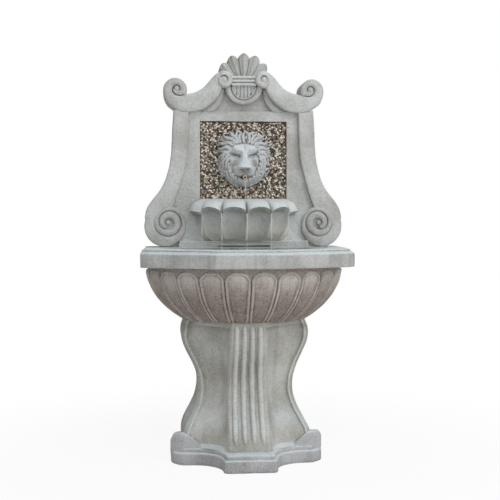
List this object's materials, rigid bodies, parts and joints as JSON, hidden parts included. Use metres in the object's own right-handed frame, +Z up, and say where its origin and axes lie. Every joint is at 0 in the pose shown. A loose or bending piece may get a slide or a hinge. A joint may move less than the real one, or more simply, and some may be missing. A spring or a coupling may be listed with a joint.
{
  "type": "lion head floor fountain",
  "caption": "Cast stone wall fountain: lion mask on a pebbled scroll panel spills to a shell and a fluted basin on a waisted pedestal, with pump, hose and drain inside.",
  "frame": {"origin": "on the floor, at the middle of the bounding box", "axes": "X to the viewer's right, +Y to the wall behind the fountain, +Z up"},
  "size_m": [0.696, 0.4, 1.3612],
  "materials": {
    "cast_stone": "weathered matt",
    "bowl_stone": "weathered matt with a brown wash",
    "pebbles": "mixed pea gravel in mortar",
    "pump_plastic": "moulded",
    "impeller_plastic": "moulded",
    "shaft_ceramic": "ground",
    "black_rubber": "moulded",
    "filter_foam": "open cell foam",
    "hose_vinyl": "extruded vinyl",
    "clamp_steel": "stainless band",
    "brass": "turned",
    "grey_plastic": "moulded",
    "dowel_plastic": "turned rod"
  },
  "bodies": {
    "fountain": {"plinth": "cast_stone", "pedestal_column": "cast_stone", "basin": "bowl_stone", "backsplash": "cast_stone", "pebble_bed": "pebbles", "lion_mask": "cast_stone", "shell_shelf": "cast_stone", "pump_motor_housing": "pump_plastic", "pump_volute_cover": "pump_plastic", "pump_shaft": "shaft_ceramic", "pump_shaft_bushes": "black_rubber", "pump_suction_cups": "black_rubber", "pump_cord_gland": "black_rubber", "riser_hose": "hose_vinyl", "hose_clamps": "clamp_steel", "hose_clip": "grey_plastic", "spout_elbow": "brass", "spout_nipple": "brass", "spout_locknut": "brass", "spout_washer": "black_rubber", "drain_bushing": "grey_plastic", "drain_gasket": "black_rubber", "drain_locknut": "grey_plastic", "locating_dowels": "dowel_plastic", "cord_grommet": "black_rubber"},
    "impeller": {"pump_impeller": "impeller_plastic"},
    "strainer": {"pump_strainer": "pump_plastic", "pump_foam_filter": "filter_foam"},
    "flow_knob": {"pump_flow_knob": "grey_plastic"},
    "drain_stopper": {"drain_stopper": "black_rubber"}
  },
  "joints": [
    {"name": "impeller_spin", "type": "hinge", "parent": "fountain", "child": "impeller", "pos_m": [0, 0.138, 0.546], "axis": [1, 0, 0], "continuous": true},
    {"name": "strainer_pull", "type": "slide", "parent": "fountain", "child": "strainer", "axis": [-1, 0, 0], "range_m": [0, 0.04]},
    {"name": "flow_knob_turn", "type": "hinge", "parent": "strainer", "child": "flow_knob", "pos_m": [-0.058, 0.138, 0.562], "axis": [-1, 0, 0], "range_deg": [0, 90]},
    {"name": "stopper_lift", "type": "slide", "parent": "fountain", "child": "drain_stopper", "axis": [0, 0, 1], "range_m": [0, 0.06]}
  ]
}
